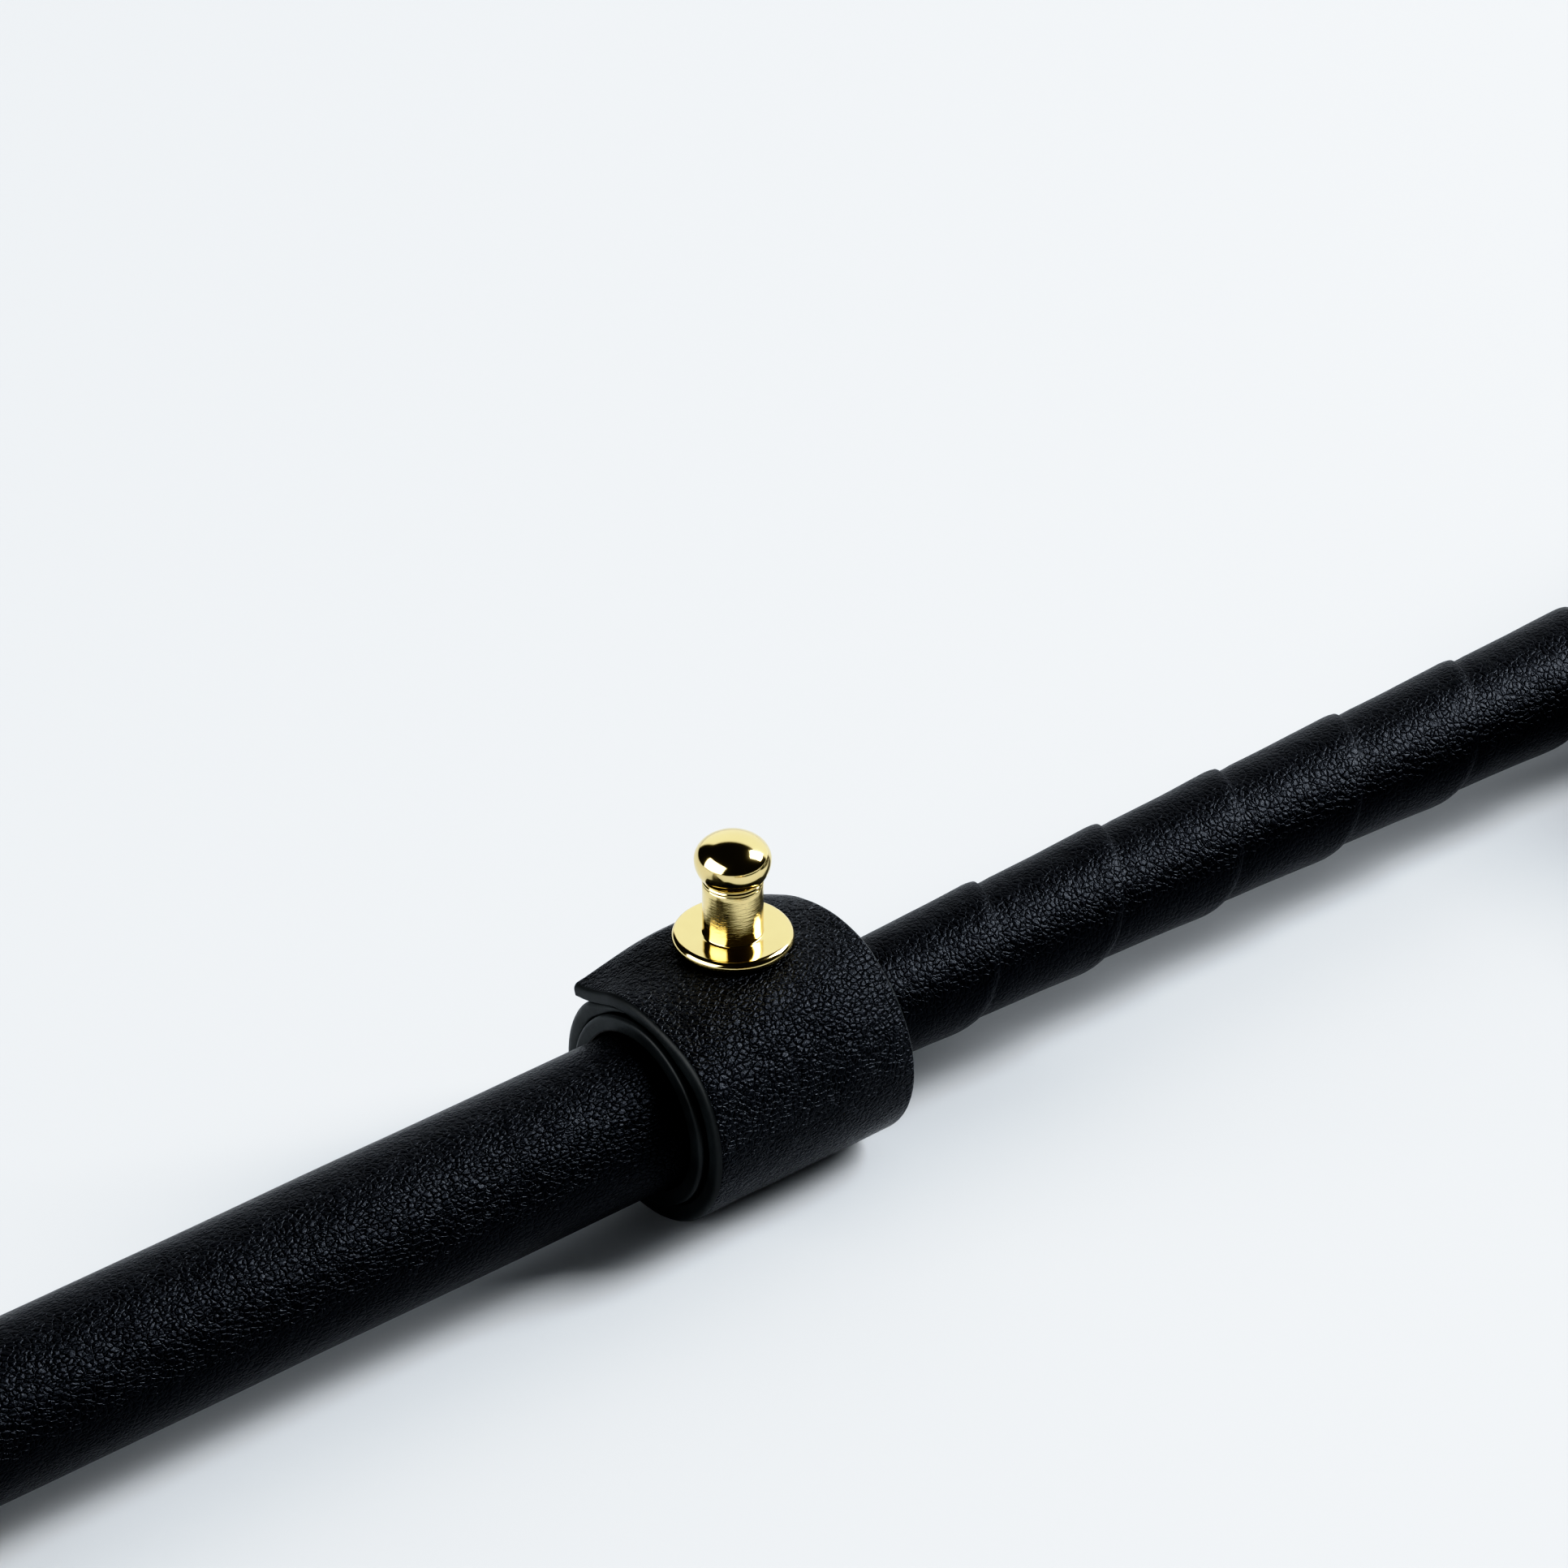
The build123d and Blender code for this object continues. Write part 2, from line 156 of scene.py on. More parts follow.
def spline_line(points):
    """The smooth line of a NURBS spline through a route's control points."""
    curve = bpy.data.curves.new("route", "CURVE")
    curve.dimensions = "3D"
    curve.resolution_u = 24
    spline = curve.splines.new("NURBS")
    spline.points.add(len(points) - 1)
    for point, at in zip(spline.points, points):
        point.co = (*at, 1.0)
    spline.order_u = 3
    spline.use_endpoint_u = True
    holder = bpy.data.objects.new("route", curve)
    mesh = bpy.data.meshes.new_from_object(holder)
    line = np.array([v.co for v in mesh.vertices])
    bpy.data.objects.remove(holder)
    bpy.data.meshes.remove(mesh)
    bpy.data.curves.remove(curve)
    return line


class Line:
    """A polyline that can be read at any distance along it, with a frame that does not twist."""

    def __init__(self, points, first_normal):
        keep = np.concatenate([[True], np.linalg.norm(np.diff(points, axis=0), axis=1) > 1e-7])
        self.points = points[keep]
        steps = np.diff(self.points, axis=0)
        self.at = np.concatenate([[0.0], np.cumsum(np.linalg.norm(steps, axis=1))])
        self.length = self.at[-1]
        tangents = np.gradient(self.points, self.at, axis=0)
        self.tangents = tangents / np.linalg.norm(tangents, axis=1)[:, None]
        normals = [np.array(first_normal, float)]
        for before, after in zip(self.tangents, self.tangents[1:]):
            axis = np.cross(before, after)
            normal = normals[-1]
            size = np.linalg.norm(axis)
            if size > 1e-12:
                turn = Matrix.Rotation(math.atan2(size, before @ after), 3, Vector(axis))
                normal = np.array(turn @ Vector(normal))
            normal = normal - (normal @ after) * after
            normals.append(normal / np.linalg.norm(normal))
        self.normals = np.array(normals)

    def read(self, distance):
        """Point, tangent, normal and side at each distance."""
        def along(values):
            return np.stack([np.interp(distance, self.at, values[:, k]) for k in range(3)], -1)
        normal = along(self.normals)
        normal /= np.linalg.norm(normal, axis=-1)[..., None]
        tangent = along(self.tangents)
        tangent /= np.linalg.norm(tangent, axis=-1)[..., None]
        return along(self.points), tangent, normal, np.cross(tangent, normal)


# ---------------------------------------------------------------- mesh helpers
def add_mesh(name, verts, faces, uvs=None, materials=(), face_material=None):
    """New smooth-shaded object; uvs are listed corner by corner."""
    mesh = bpy.data.meshes.new(name)
    mesh.from_pydata([tuple(v) for v in verts], [], faces)
    if uvs is not None:
        layer = mesh.uv_layers.new(name="UVMap")
        layer.data.foreach_set("uv", np.asarray(uvs, np.float32).ravel())
    for material in materials:
        mesh.materials.append(material)
    if face_material is not None:
        mesh.polygons.foreach_set("material_index", np.asarray(face_material, np.int32))
    mesh.polygons.foreach_set("use_smooth", np.ones(len(mesh.polygons), bool))
    mesh.update()
    obj = bpy.data.objects.new(name, mesh)
    bpy.context.collection.objects.link(obj)
    return obj


def grid_faces(rows, cols, close_rows, close_cols):
    """Quads of a grid, with the (row, col) corners they use before wrapping."""
    faces, corners = [], []
    for i in range(rows if close_rows else rows - 1):
        for j in range(cols if close_cols else cols - 1):
            square = ((i, j), (i, j + 1), (i + 1, j + 1), (i + 1, j))
            faces.append([(a % rows) * cols + (b % cols) for a, b in square])
            corners.append(square)
    return faces, corners


def faces_inward(points, faces):
    """True for a closed mesh whose faces look into it: its signed volume is negative."""
    volume = 0.0
    for face in faces:
        for b, c in zip(face[1:], face[2:]):
            volume += points[face[0]] @ np.cross(points[b], points[c])
    return volume < 0


def grid_mesh(name, points, close_rows=False, close_cols=False, uv=None, materials=(),
              pick=None, caps=False):
    """Mesh from a rows x cols grid of points.  uv and pick take a (row, col) corner or face."""
    rows, cols = points.shape[:2]
    faces, corners = grid_faces(rows, cols, close_rows, close_cols)
    picks = [pick(*c[0]) for c in corners] if pick else [0] * len(faces)
    uvs = [[uv(*k) for k in c] for c in corners] if uv else None
    if caps:
        for ring, back in ((0, False), (rows - 1, True)):
            loop = [ring * cols + j for j in range(cols)]
            loop = loop if back else loop[::-1]
            faces.append(loop)
            picks.append(picks[-1] if back else picks[0])
            if uvs is not None:
                uvs.append([uv(ring, k % cols) for k in loop])
    if faces_inward(points.reshape(-1, 3), faces):
        faces = [f[::-1] for f in faces]
        uvs = [u[::-1] for u in uvs] if uvs is not None else None
    flat = [p for face in uvs for p in face] if uvs is not None else None
    return add_mesh(name, points.reshape(-1, 3), faces, flat, materials, picks)


def smooth_curve(knots, count):
    """Catmull-Rom curve through 2-D knots, evenly spaced in knot number."""
    k = np.asarray(knots, float)
    k = np.vstack([2 * k[0] - k[1], k, 2 * k[-1] - k[-2]])
    out = []
    for t in np.linspace(0, len(k) - 3, count):
        i = min(int(t), len(k) - 4)
        u = t - i
        a, b, c, d = k[i], k[i + 1], k[i + 2], k[i + 3]
        out.append(0.5 * (2 * b + (c - a) * u + (2 * a - 5 * b + 4 * c - d) * u * u
                          + (3 * b - a - 3 * c + d) * u ** 3))
    return np.array(out)


def rounded(points, radius, steps=5):
    """Closed 2-D outline with each corner rounded; points are (x, r, radius or None)."""
    out = []
    n = len(points)
    for i, p in enumerate(points):
        here = np.array(p[:2], float)
        r = p[2] if len(p) > 2 else radius
        before = np.array(points[i - 1][:2], float) - here
        after = np.array(points[(i + 1) % n][:2], float) - here
        cut = min(r, 0.45 * np.linalg.norm(before), 0.45 * np.linalg.norm(after))
        if cut < 1e-4:
            out.append(here)
            continue
        start = here + before / np.linalg.norm(before) * cut
        end = here + after / np.linalg.norm(after) * cut
        for t in np.linspace(0, 1, steps):
            out.append((1 - t) ** 2 * start + 2 * t * (1 - t) * here + t * t * end)
    return np.array(out)


def lathe(name, outline, origin, axis, segments, materials=(), pick=None, closed=True, wobble=None):
    """Turns a closed (along, radius) outline in mm about an axis through origin."""
    axis = Vector(axis).normalized()
    side = axis.orthogonal().normalized()
    if abs(axis.x) > 0.9:
        side = Vector((0.0, 1.0, 0.0))
    up = axis.cross(side)
    points = np.zeros((len(outline), segments, 3))
    for j in range(segments):
        a = 2 * math.pi * j / segments
        out_dir = side * math.cos(a) + up * math.sin(a)
        for i, (x, r) in enumerate(outline):
            radius = r + (wobble(x, a, r) if wobble else 0.0)
            points[i, j] = origin + axis * (x * MM) + out_dir * (radius * MM)
    length = np.concatenate([[0], np.cumsum(np.linalg.norm(np.diff(outline, axis=0), axis=1))])
    total = length[-1]

    def uv(i, j):
        return ((length[i] if i < len(outline) else total + 1) * 0.1, j / segments)
    return grid_mesh(name, points, close_rows=closed, close_cols=True, uv=uv, materials=materials,
                     pick=pick, caps=not closed)


def soft_noise(x, y, z=0.0):
    """Smooth noise, about -1 to 1, the same each run."""
    return noise.noise(Vector((x, y, z)))


# ---------------------------------------------------------------- materials
class Nodes:
    """Small helper to build a node material."""

    def __init__(self, name):
        self.material = bpy.data.materials.new(name)
        self.material.use_nodes = True
        self.tree = self.material.node_tree
        self.shader = self.tree.nodes["Principled BSDF"]

    def add(self, kind, **settings):
        """New node; a setting is an input's value or, failing that, a property."""
        node = self.tree.nodes.new(kind)
        for key, value in settings.items():
            if key in node.inputs:
                node.inputs[key].default_value = value
            else:
                setattr(node, key, value)
        return node

    def link(self, a, b):
        self.tree.links.new(a, b)

    def coords(self, scale):
        """Object coordinates in multiples of one over scale."""
        source = self.add("ShaderNodeTexCoord")
        mapping = self.add("ShaderNodeMapping")
        mapping.inputs["Scale"].default_value = scale
        self.link(source.outputs["Object"], mapping.inputs["Vector"])
        return mapping.outputs["Vector"]

    def warp(self, vector, size, amount):
        """Vector pushed about by noise."""
        wave = self.add("ShaderNodeTexNoise", Scale=size, Detail=2.0)
        self.link(vector, wave.inputs["Vector"])
        shift = self.add("ShaderNodeVectorMath", operation="SUBTRACT")
        self.link(wave.outputs["Color"], shift.inputs[0])
        shift.inputs[1].default_value = (0.5, 0.5, 0.5)
        scale = self.add("ShaderNodeVectorMath", operation="SCALE")
        scale.inputs["Scale"].default_value = amount
        self.link(shift.outputs["Vector"], scale.inputs[0])
        total = self.add("ShaderNodeVectorMath", operation="ADD")
        self.link(vector, total.inputs[0])
        self.link(scale.outputs["Vector"], total.inputs[1])
        return total.outputs["Vector"]

    def ramp(self, value, *stops):
        """Colour ramp over (position, grey or colour) stops."""
        ramp = self.add("ShaderNodeValToRGB")
        while len(ramp.color_ramp.elements) < len(stops):
            ramp.color_ramp.elements.new(0.5)
        for element, (at, level) in zip(ramp.color_ramp.elements, stops):
            element.position = at
            element.color = (*level, 1.0) if isinstance(level, tuple) else (level, level, level, 1.0)
        self.link(value, ramp.inputs["Fac"])
        return ramp.outputs["Color"]

    def math(self, operation, a, b):
        """Math node; a and b are sockets or numbers."""
        node = self.add("ShaderNodeMath", operation=operation)
        for socket, value in zip(node.inputs, (a, b)):
            if isinstance(value, (int, float)):
                socket.default_value = value
            else:
                self.link(value, socket)
        return node.outputs["Value"]

    def bump(self, height, depth, before=None):
        """Normal for a height map depth metres deep, over the normal before it."""
        node = self.add("ShaderNodeBump", Distance=depth, Strength=1.0)
        self.link(height, node.inputs["Height"])
        if before is not None:
            self.link(before, node.inputs["Normal"])
        return node.outputs["Normal"]


def leather(name, colour, pebble, depth, rough, gloss, stretch=(1.0, 1.0, 1.0)):
    """Dyed leather: pebbles of about pebble mm with creases between, fine pores; tone uneven at random,
    with painted shade darkening the creases.
    """
    n = Nodes(name)
    shader = n.shader
    shader.inputs["Specular IOR Level"].default_value = gloss
    shader.inputs["Specular Tint"].default_value = (0.80, 0.88, 1.0, 1.0)
    per_mm = tuple(1000.0 / (pebble * s) for s in stretch)
    place = n.coords(per_mm)
    warped = n.warp(place, 0.9, 0.7)
    cells = n.add("ShaderNodeTexVoronoi", feature="DISTANCE_TO_EDGE", Scale=1.0)
    n.link(warped, cells.inputs["Vector"])
    domes = n.ramp(cells.outputs["Distance"], (0.0, 0.0), (0.12, 0.55), (0.45, 1.0))
    fine = n.add("ShaderNodeTexNoise", Scale=3.1, Detail=4.0, Roughness=0.6)
    n.link(place, fine.inputs["Vector"])
    broad = n.add("ShaderNodeTexNoise", Scale=0.22, Detail=3.0)
    n.link(place, broad.inputs["Vector"])
    height = n.math("ADD", n.math("MULTIPLY", domes, 0.6),
                    n.math("MULTIPLY", fine.outputs["Fac"], 0.5))
    waves = n.bump(broad.outputs["Fac"], depth * 2.2)
    n.link(n.bump(height, depth, waves), shader.inputs["Normal"])
    # Base colour: painted shade darkens the creases between pebbles and the pebble tops are lighter; the
    # broad noise adds uneven tone at random.
    dark = tuple(c * 0.55 for c in colour)
    light = tuple(c * 1.5 for c in colour)
    crease_shade_and_tone = n.math("ADD", n.math("MULTIPLY", domes, 0.5),
                   n.math("MULTIPLY", broad.outputs["Fac"], 0.5))
    n.link(n.ramp(crease_shade_and_tone, (0.15, dark), (0.55, colour), (0.95, light)), shader.inputs["Base Color"])
    n.link(n.math("ADD", n.math("MULTIPLY", fine.outputs["Fac"], 0.16), rough - 0.08),
           shader.inputs["Roughness"])
    return n.material


def edge_paint(name, colour, rough):
    """Painted and burnished cut edge: satin, with faint brush marks along it."""
    n = Nodes(name)
    place = n.coords((1200.0, 1200.0, 1200.0))
    marks = n.add("ShaderNodeTexNoise", Scale=1.0, Detail=4.0, Roughness=0.65)
    n.link(place, marks.inputs["Vector"])
    broad = n.add("ShaderNodeTexNoise", Scale=0.2, Detail=2.0)
    n.link(place, broad.inputs["Vector"])
    dark = tuple(c * 0.7 for c in colour)
    light = tuple(c * 1.45 for c in colour)
    n.link(n.ramp(broad.outputs["Fac"], (0.3, dark), (0.7, light)), n.shader.inputs["Base Color"])
    n.link(n.bump(marks.outputs["Fac"], 0.00002), n.shader.inputs["Normal"])
    n.link(n.math("ADD", n.math("MULTIPLY", marks.outputs["Fac"], 0.2), rough - 0.1),
           n.shader.inputs["Roughness"])
    n.shader.inputs["Specular IOR Level"].default_value = 0.35
    return n.material


def raw_edge(name, colour):
    """Cut leather fibres."""
    n = Nodes(name)
    place = n.coords((4000.0, 4000.0, 4000.0))
    fibres = n.add("ShaderNodeTexNoise", Scale=1.0, Detail=5.0, Roughness=0.75)
    n.link(place, fibres.inputs["Vector"])
    dark = tuple(c * 0.35 for c in colour)
    n.link(n.ramp(fibres.outputs["Fac"], (0.3, dark), (0.75, colour)), n.shader.inputs["Base Color"])
    n.link(n.bump(fibres.outputs["Fac"], 0.00008), n.shader.inputs["Normal"])
    n.shader.inputs["Roughness"].default_value = 0.8
    return n.material


def metal(name, colour, rough, scratch=0.000004, stretch=(1.0, 1.0, 1.0), tarnish=0.06):
    """Polished or satin metal: faint scratches, uneven polish, slight tarnish."""
    n = Nodes(name)
    n.shader.inputs["Metallic"].default_value = 1.0
    place = n.coords(tuple(2500.0 / s for s in stretch))
    lines = n.add("ShaderNodeTexNoise", Scale=1.0, Detail=3.0, Roughness=0.6)
    n.link(place, lines.inputs["Vector"])
    cloud = n.add("ShaderNodeTexNoise", Scale=0.12, Detail=3.0)
    n.link(place, cloud.inputs["Vector"])
    dark = tuple(c * (1 - 2 * tarnish) for c in colour)
    n.link(n.ramp(cloud.outputs["Fac"], (0.35, dark), (0.62, colour)), n.shader.inputs["Base Color"])
    n.link(n.math("ADD", n.math("MULTIPLY", cloud.outputs["Fac"], rough * 0.6), rough * 0.7),
           n.shader.inputs["Roughness"])
    n.link(n.bump(lines.outputs["Fac"], scratch), n.shader.inputs["Normal"])
    return n.material


def cotton(name, colour):
    """Twisted cotton cord: slanting strands, with painted shade darkening the grooves between them."""
    n = Nodes(name)
    place = n.coords((900.0, 900.0, 900.0))
    strands = n.add("ShaderNodeTexWave", Scale=0.6, Distortion=1.5, Detail=2.0)
    n.link(place, strands.inputs["Vector"])
    fuzz = n.add("ShaderNodeTexNoise", Scale=3.0, Detail=5.0, Roughness=0.7)
    n.link(place, fuzz.inputs["Vector"])
    # Base colour darker in the grooves between strands: painted shade.
    dark = tuple(c * 0.6 for c in colour)
    n.link(n.ramp(strands.outputs["Fac"], (0.0, dark), (0.8, colour)), n.shader.inputs["Base Color"])
    rough = n.bump(fuzz.outputs["Fac"], 0.0002)
    n.link(n.bump(strands.outputs["Fac"], 0.0004, rough), n.shader.inputs["Normal"])
    n.shader.inputs["Roughness"].default_value = 0.9
    n.shader.inputs["Sheen Weight"].default_value = 0.3
    return n.material


BLACK = (0.0016, 0.0020, 0.0038)
KEEPER_LEATHER = leather("keeper_leather", BLACK, pebble=0.54, depth=0.00017, rough=0.28, gloss=0.26,
                         stretch=(1.4, 1.0, 1.0))
SLEEVE_LEATHER = leather("sleeve_leather", BLACK, pebble=0.50, depth=0.00012, rough=0.31, gloss=0.20,
                         stretch=(1.6, 1.0, 1.0))
WRAP_LEATHER = leather("wrap_leather", BLACK, pebble=0.66, depth=0.00010, rough=0.38, gloss=0.22)
LINER_LEATHER = leather("liner_leather", (0.003, 0.0034, 0.0042), pebble=0.9, depth=0.00005,
                        rough=0.55, gloss=0.1)
EDGE_PAINT = edge_paint("edge_paint", (0.019, 0.022, 0.023), 0.40)
RAW_EDGE = raw_edge("raw_edge", (0.16, 0.155, 0.15))
GOLD = metal("gold", (0.86, 0.72, 0.38), 0.11, scratch=0.000001, tarnish=0.02)
TURNED_GOLD = metal("turned_gold", (0.86, 0.72, 0.38), 0.12, scratch=0.000022,
                    stretch=(4.0, 4.0, 0.35), tarnish=0.02)
BRASS = metal("brass", (0.83, 0.63, 0.30), 0.12, scratch=0.000008)
TURNED_BRASS = metal("turned_brass", (0.86, 0.66, 0.31), 0.1, scratch=0.000006, stretch=(0.5, 4.0, 4.0))
SPRING_STEEL = metal("spring_steel", (0.58, 0.58, 0.60), 0.2)
ALUMINIUM = metal("aluminium", (0.75, 0.75, 0.77), 0.3, stretch=(8.0, 1.0, 1.0))
COTTON = cotton("cotton_core", (0.62, 0.55, 0.44))


# ---------------------------------------------------------------- rope
WRAP_PITCH = 16.0 * MM
WRAP_START = 82.0 * MM               # where the strip's edge crosses the +Y side
WRAP_LOW = 6.10                      # radius where a turn starts, and its rise to the strip's edge
WRAP_RISE = 0.52
WRAP_WAVER = 0.5 * MM                # how far the edge strays from its even spiral
WAVER_ROW = 7.3                      # the row of the noise that the straying is read from
STRIP_ASPECT = 0.392                 # strip width over the way round the rope
AROUND = 56


def wrap_radius(u, turn, angle):
    """Radius over the strip, in mm: low where it leaves the last turn, proud at its edge."""
    lift = 1.0 + 0.25 * soft_noise(turn * 0.37, math.cos(angle) * 0.8, math.sin(angle) * 0.8)
    rise = WRAP_RISE * lift * (0.25 * u + 0.75 * u ** 1.7)
    dip = -0.06 * math.exp(-((u - 0.05) / 0.04) ** 2)
    round_off = -0.17 * max(0.0, (u - 0.93) / 0.07) ** 1.6
    slack = 0.03 * soft_noise(u * 5 + turn * 3.1, math.cos(angle) * 2.2, math.sin(angle) * 2.2)
    return WRAP_LOW + rise + dip + round_off + slack


def strip_spot(distance, angle, start):
    """Turn number and share of the strip's width at a distance along the rope and an angle round it."""
    place = (distance - WRAP_START + start) / WRAP_PITCH + angle / (2 * math.pi)
    return math.floor(place), place - math.floor(place)


def close_rope(mesh):
    """Joins the points that meet in the end planes, and closes both ends."""
    work = bmesh.new()
    work.from_mesh(mesh)
    bmesh.ops.remove_doubles(work, verts=work.verts, dist=2e-7)
    bmesh.ops.dissolve_degenerate(work, edges=work.edges, dist=2e-7)
    bmesh.ops.holes_fill(work, edges=[e for e in work.edges if e.is_boundary], sides=0)
    bmesh.ops.recalc_face_normals(work, faces=work.faces)
    for face in work.faces:
        face.smooth = True
    work.to_mesh(mesh)
    work.free()


def make_rope():
    """One wound strip, as a spiral grid: a row of the grid follows the strip's edge round the rope."""
    line = Line(spline_line(rope_points()), (0.0, 1.0, 0.0))
    across = [0.0, 0.012, 0.035, 0.07, 0.12, 0.19, 0.27, 0.36, 0.45, 0.54, 0.63, 0.71, 0.79, 0.86,
              0.92, 0.955, 0.975, 0.99, 1.0]
    per_turn = len(across)
    start = line.points[0][0]
    first = math.floor((start - WRAP_START) / WRAP_PITCH) - 1
    last = math.ceil((start + line.length - WRAP_START) / WRAP_PITCH) + 2
    rows = [(turn, u) for turn in range(first, last) for u in across]
    angles = np.arange(AROUND) / AROUND * 2 * math.pi
    distance = np.zeros((len(rows), AROUND))
    radius = np.zeros((len(rows), AROUND))
    for i, (turn, u) in enumerate(rows):
        for j, angle in enumerate(angles):
            spot = turn + u - angle / (2 * math.pi)
            waver = WRAP_WAVER * soft_noise(turn + u - angle / math.pi * 0.5, WAVER_ROW)
            along = WRAP_START - start + spot * WRAP_PITCH + waver
            turns_in, share = spot - u, u
            if not 0.0 < along < line.length:
                along = min(max(along, 0.0), line.length)
                whole, share = strip_spot(along, angle, start)
                turns_in = whole - angle / (2 * math.pi)
            distance[i, j] = along
            radius[i, j] = wrap_radius(share, turns_in, angle)
    at, _, normal, side = line.read(distance)
    ring = normal * np.cos(angles)[None, :, None] + side * np.sin(angles)[None, :, None]
    points = at + ring * (radius * MM)[..., None]
    faces, uvs = [], []
    for i in range(len(rows) - 1):
        for j in range(AROUND):
            back = 0 if j < AROUND - 1 else per_turn
            ahead = (j + 1) % AROUND
            square = ((i, j), (max(i - back, 0), ahead), (max(i + 1 - back, 0), ahead), (i + 1, j))
            faces.append([a * AROUND + b for a, b in square])
            edge = j + 1
            uvs += [((rows[r][0] + rows[r][1]) * STRIP_ASPECT, c / AROUND)
                    for r, c in ((i, j), (i, edge), (i + 1, edge), (i + 1, j))]
    rope = add_mesh("rope", points.reshape(-1, 3), faces, uvs, [WRAP_LEATHER])
    close_rope(rope.data)
    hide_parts("rope_near_run", "rope_coil", "rope_far_run")
    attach(rope, "rope")
    return rope, line


ROPE, ROPE_LINE = make_rope()


def make_tie():
    """Leather band round the two turns, its end lapped over on the outside of the coil."""
    low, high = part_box("coil_tie")
    width = high.y - low.y
    thick = 1.2
    half = 6.5 + 0.25                # the rope's radius and a gap
    top = 27.4
    outline = [(half, 14.0), (half, 22.0), (half - 0.9, 25.0), (half - 3.4, top - 0.5), (0.0, top),
               (-half + 3.4, top - 0.5), (-half + 0.9, 25.0), (-half, 22.0), (-half, 14.0), (-half, 6.5),
               (-half + 0.9, 3.4), (-half + 3.4, 1.7), (0.0, 1.25), (half - 3.4, 1.7), (half - 0.9, 3.4),
               (half, 6.5), (half + 0.15, 11.0), (half + 1.2, 14.6), (half + 1.3, 18.0),
               (half + 1.3, 21.5)]
    path = smooth_curve(outline, 150)
    tangent = np.gradient(path, axis=0)
    tangent /= np.linalg.norm(tangent, axis=1)[:, None]
    out = np.stack([tangent[:, 1], -tangent[:, 0]], -1)
    section = rounded([(-width / MM / 2, 0.0), (width / MM / 2, 0.0), (width / MM / 2, thick),
                       (-width / MM / 2, thick)], 0.4)
    points = np.zeros((len(path), len(section), 3))
    middle_x = (low.x + high.x) / 2
    for i, (p, o) in enumerate(zip(path, out)):
        for j, (w, h) in enumerate(section):
            points[i, j] = (middle_x + (p[0] + o[0] * h) * MM, w * MM + (low.y + high.y) / 2,
                            (p[1] + o[1] * h) * MM)
    count = len(section)

    def pick(i, j):
        nearest = min(abs(section[j][0]), abs(section[(j + 1) % count][0]))
        return 1 if nearest > width / MM / 2 - 0.25 else 0
    tie = grid_mesh("tie_band", points, close_cols=True, uv=lambda i, j: (i * 0.01, j / count),
                    materials=[KEEPER_LEATHER, EDGE_PAINT], pick=pick, caps=True)
    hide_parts("coil_tie")
    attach(tie, "rope")
    return tie


TIE = make_tie()
tuple(ROPE_LINE.points[0])
[tuple(p) for p in ROPE_LINE.points]


# ---------------------------------------------------------------- sleeves
def make_sleeve(prefix):
    """Leather sleeve at one end: bevelled rims, soft lumps and the groove of its long seam."""
    low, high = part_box(prefix + "_sleeve_leather")
    length = (high.x - low.x) / MM
    bore, outside = 6.6, 8.0
    seam_at, seam_half, seam_depth = 318.0, 2.0, 0.22     # degrees, degrees, mm
    outline = rounded([(0.0, bore, 0.3), (length, bore, 0.3), (length, outside, 0.6),
                       (0.0, outside, 0.6)], 0.5, 6)
    dense = []
    for a, b in zip(outline, np.roll(outline, -1, axis=0)):
        steps = max(1, int(np.linalg.norm(b - a) / 1.5))
        dense += [a + (b - a) * t / steps for t in range(steps)]

    def wobble(x, angle, r):
        if r < bore + 0.4:
            return 0.0
        lumps = 0.06 * soft_noise(x * 0.06, math.cos(angle) * 1.1, math.sin(angle) * 1.1 + 3.0)
        seam = (math.degrees(angle) - seam_at) / seam_half
        return lumps - seam_depth * math.exp(-seam * seam)
    origin = Vector((low.x, (low.y + high.y) / 2, (low.z + high.z) / 2))
    rows = np.array(dense)

    def pick(i, j):
        return 1 if rows[i][0] > length - 0.35 and rows[i][1] < outside - 0.1 else 0
    sleeve = lathe(prefix + "_sleeve", rows, origin, (1, 0, 0), 128, [SLEEVE_LEATHER, EDGE_PAINT],
                   pick, wobble=wobble)
    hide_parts(prefix + "_sleeve_leather")
    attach(sleeve, "rope")


for side_name in ENDS:
    make_sleeve(side_name)


# ---------------------------------------------------------------- keeper
KEEPER_WIDTH = (STRAP_HIGH.x - STRAP_LOW.x) / MM
STUD_AT = Vector((middle("stud").x, middle("stud").y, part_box("stud")[0].z))

# Outside of the strap as (degrees round from the flap's tip side, mm from the keeper's axis).
# The angle runs from the flap's tip over the top, down the camera side, underneath and up to the tuck.
FRONT_RIM = [(39.5, 13.9), (46, 12.9), (55, 12.2), (66, 11.9), (78, 11.5), (96, 11.1), (112, 11.2),
             (126, 11.7), (142, 12.1), (165, 12.1), (200, 12.1), (240, 12.0), (280, 11.9), (320, 12.0),
             (360, 12.1), (385, 12.0), (400, 11.75), (412, 11.1), (424, 10.7), (436, 10.45)]
MIDDLE = [(45, 15.1), (49.5, 14.9), (54, 14.3), (66, 12.7), (78, 11.85), (96, 11.65), (108, 11.9),
          (122, 12.05), (142, 12.0), (165, 12.0), (200, 12.0), (240, 12.0), (280, 12.0), (320, 12.0),
          (360, 12.0), (385, 12.0), (400, 11.75), (412, 11.2), (424, 10.8), (436, 10.45)]
